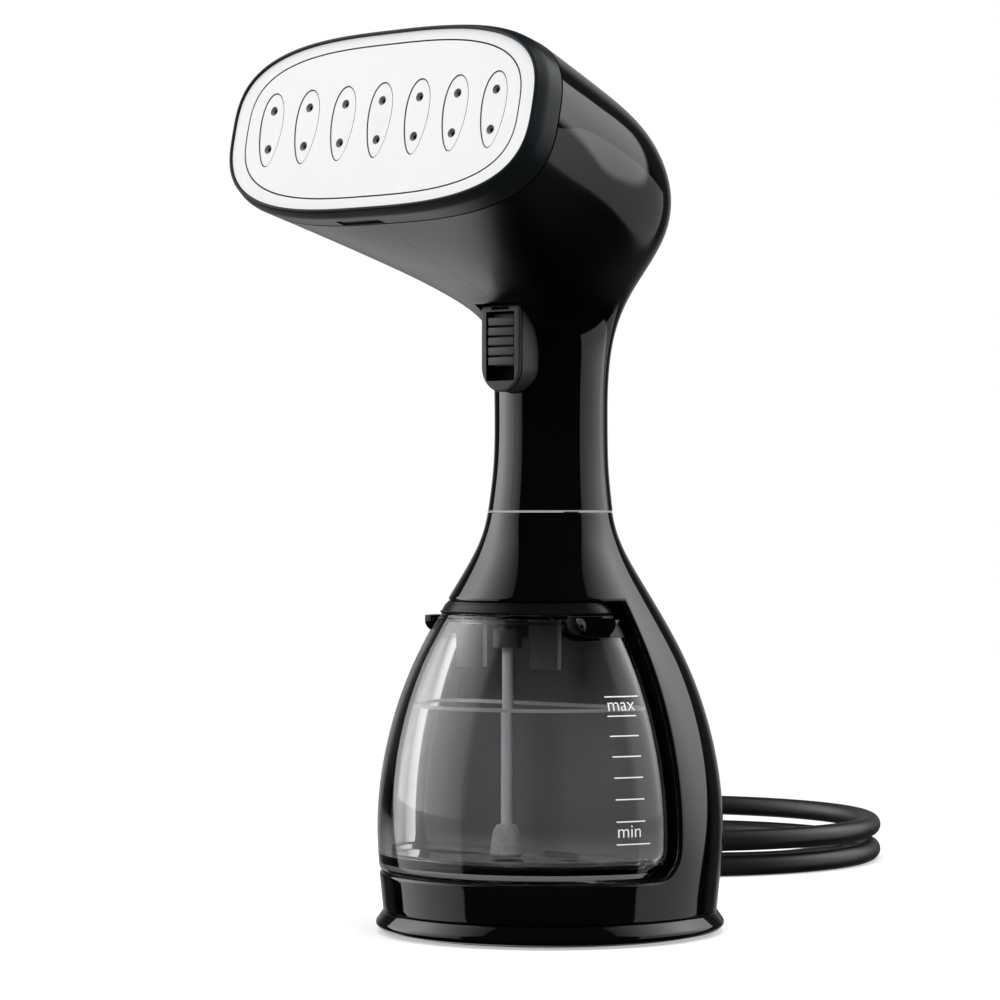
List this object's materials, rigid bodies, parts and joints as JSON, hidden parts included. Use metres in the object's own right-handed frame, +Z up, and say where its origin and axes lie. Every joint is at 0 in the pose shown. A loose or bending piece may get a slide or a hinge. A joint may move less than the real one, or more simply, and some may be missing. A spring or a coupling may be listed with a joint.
{
  "type": "garment steamer",
  "caption": "Hand-held garment steamer with a tilted steam plate, trigger neck, bell body and removable smoked water tank, with its supply cord coiled behind it.",
  "frame": {"origin": "middle of the round base, on the surface that the steamer stands on", "axes": "+Z up through the body, the steam plate and tank face -Y, the cord leaves towards +Y"},
  "size_m": [0.2838, 0.3982, 0.2886],
  "materials": {
    "gloss_black": "high-gloss black moulding",
    "satin_bezel": "satin dark grey moulding",
    "boss_grey": "fine matt dark grey moulding",
    "smoked_clear": "smoked clear moulding",
    "tank_dark": "smooth dark moulding",
    "milky_clear": "milky clear moulding",
    "trim_light": "light grey painted ring",
    "plate_white": "smooth white ceramic coat on metal",
    "soft_black": "matt black elastomer",
    "cord_black": "smooth black cord sheath",
    "silicone": "translucent silicone",
    "cast_alloy": "as-cast alloy",
    "steel": "plain steel",
    "plated": "plated brass",
    "inner_white": "natural moulding",
    "inner_black": "black moulding",
    "board_green": "green laminate"
  },
  "bodies": {
    "main": {"base_pad": "soft_black", "base_foot": "gloss_black", "base_screws": "steel", "lower_housing": "gloss_black", "bay_liner": "inner_black", "neck_trim_ring": "trim_light", "dock_socket": "inner_black", "dock_seal": "silicone", "upper_housing_right": "gloss_black", "upper_housing_left": "gloss_black", "housing_screws": "steel", "head_bezel": "satin_bezel", "steam_plate": "plate_white", "plate_seal": "silicone", "heating_element": "steel", "heater_block": "cast_alloy", "thermostat": "steel", "thermal_fuse": "steel", "switch_bracket": "inner_black", "microswitch": "inner_black", "trigger_spring": "steel", "pump": "inner_white", "pump_mount": "soft_black", "inlet_hose": "silicone", "outlet_hose": "silicone", "control_board": "board_green", "terminal_block": "inner_white", "cord_boot": "soft_black", "cord_clamp": "inner_black", "cord_lead": "cord_black", "cord_tail": "cord_black", "cord_coil": "cord_black", "plug_body": "soft_black", "plug_blades": "plated"},
    "tank": {"tank_shell": "smoked_clear", "tank_back": "tank_dark", "tank_lid": "tank_dark", "splash_baffle": "milky_clear", "tube_holder": "inner_white", "suction_tube": "silicone", "suction_filter": "inner_white", "latch_spring_left": "steel", "latch_spring_right": "steel"},
    "latch_right": {"latch_button_right": "boss_grey"},
    "latch_left": {"latch_button_left": "boss_grey"},
    "trigger": {"trigger": "boss_grey"},
    "slider": {"slide_switch": "boss_grey"}
  },
  "joints": [
    {"name": "tank_slide", "type": "slide", "parent": "main", "child": "tank", "axis": [0, -1, 0], "range_m": [0, 0.12]},
    {"name": "latch_right_press", "type": "slide", "parent": "tank", "child": "latch_right", "axis": [-1, 0, 0], "range_m": [0, 0.0022], "stiffness_N_per_m": 400, "springref_m": -0.001, "deforming": ["latch_spring_right"]},
    {"name": "latch_left_press", "type": "slide", "parent": "tank", "child": "latch_left", "axis": [1, 0, 0], "range_m": [0, 0.0022], "stiffness_N_per_m": 400, "springref_m": -0.001, "deforming": ["latch_spring_left"]},
    {"name": "trigger_press", "type": "slide", "parent": "main", "child": "trigger", "axis": [0, 1, 0], "range_m": [0, 0.0035], "stiffness_N_per_m": 600, "springref_m": -0.002, "deforming": ["trigger_spring"]},
    {"name": "slider_slide", "type": "slide", "parent": "trigger", "child": "slider", "axis": [0, 0, -1], "range_m": [0, 0.0045]}
  ]
}
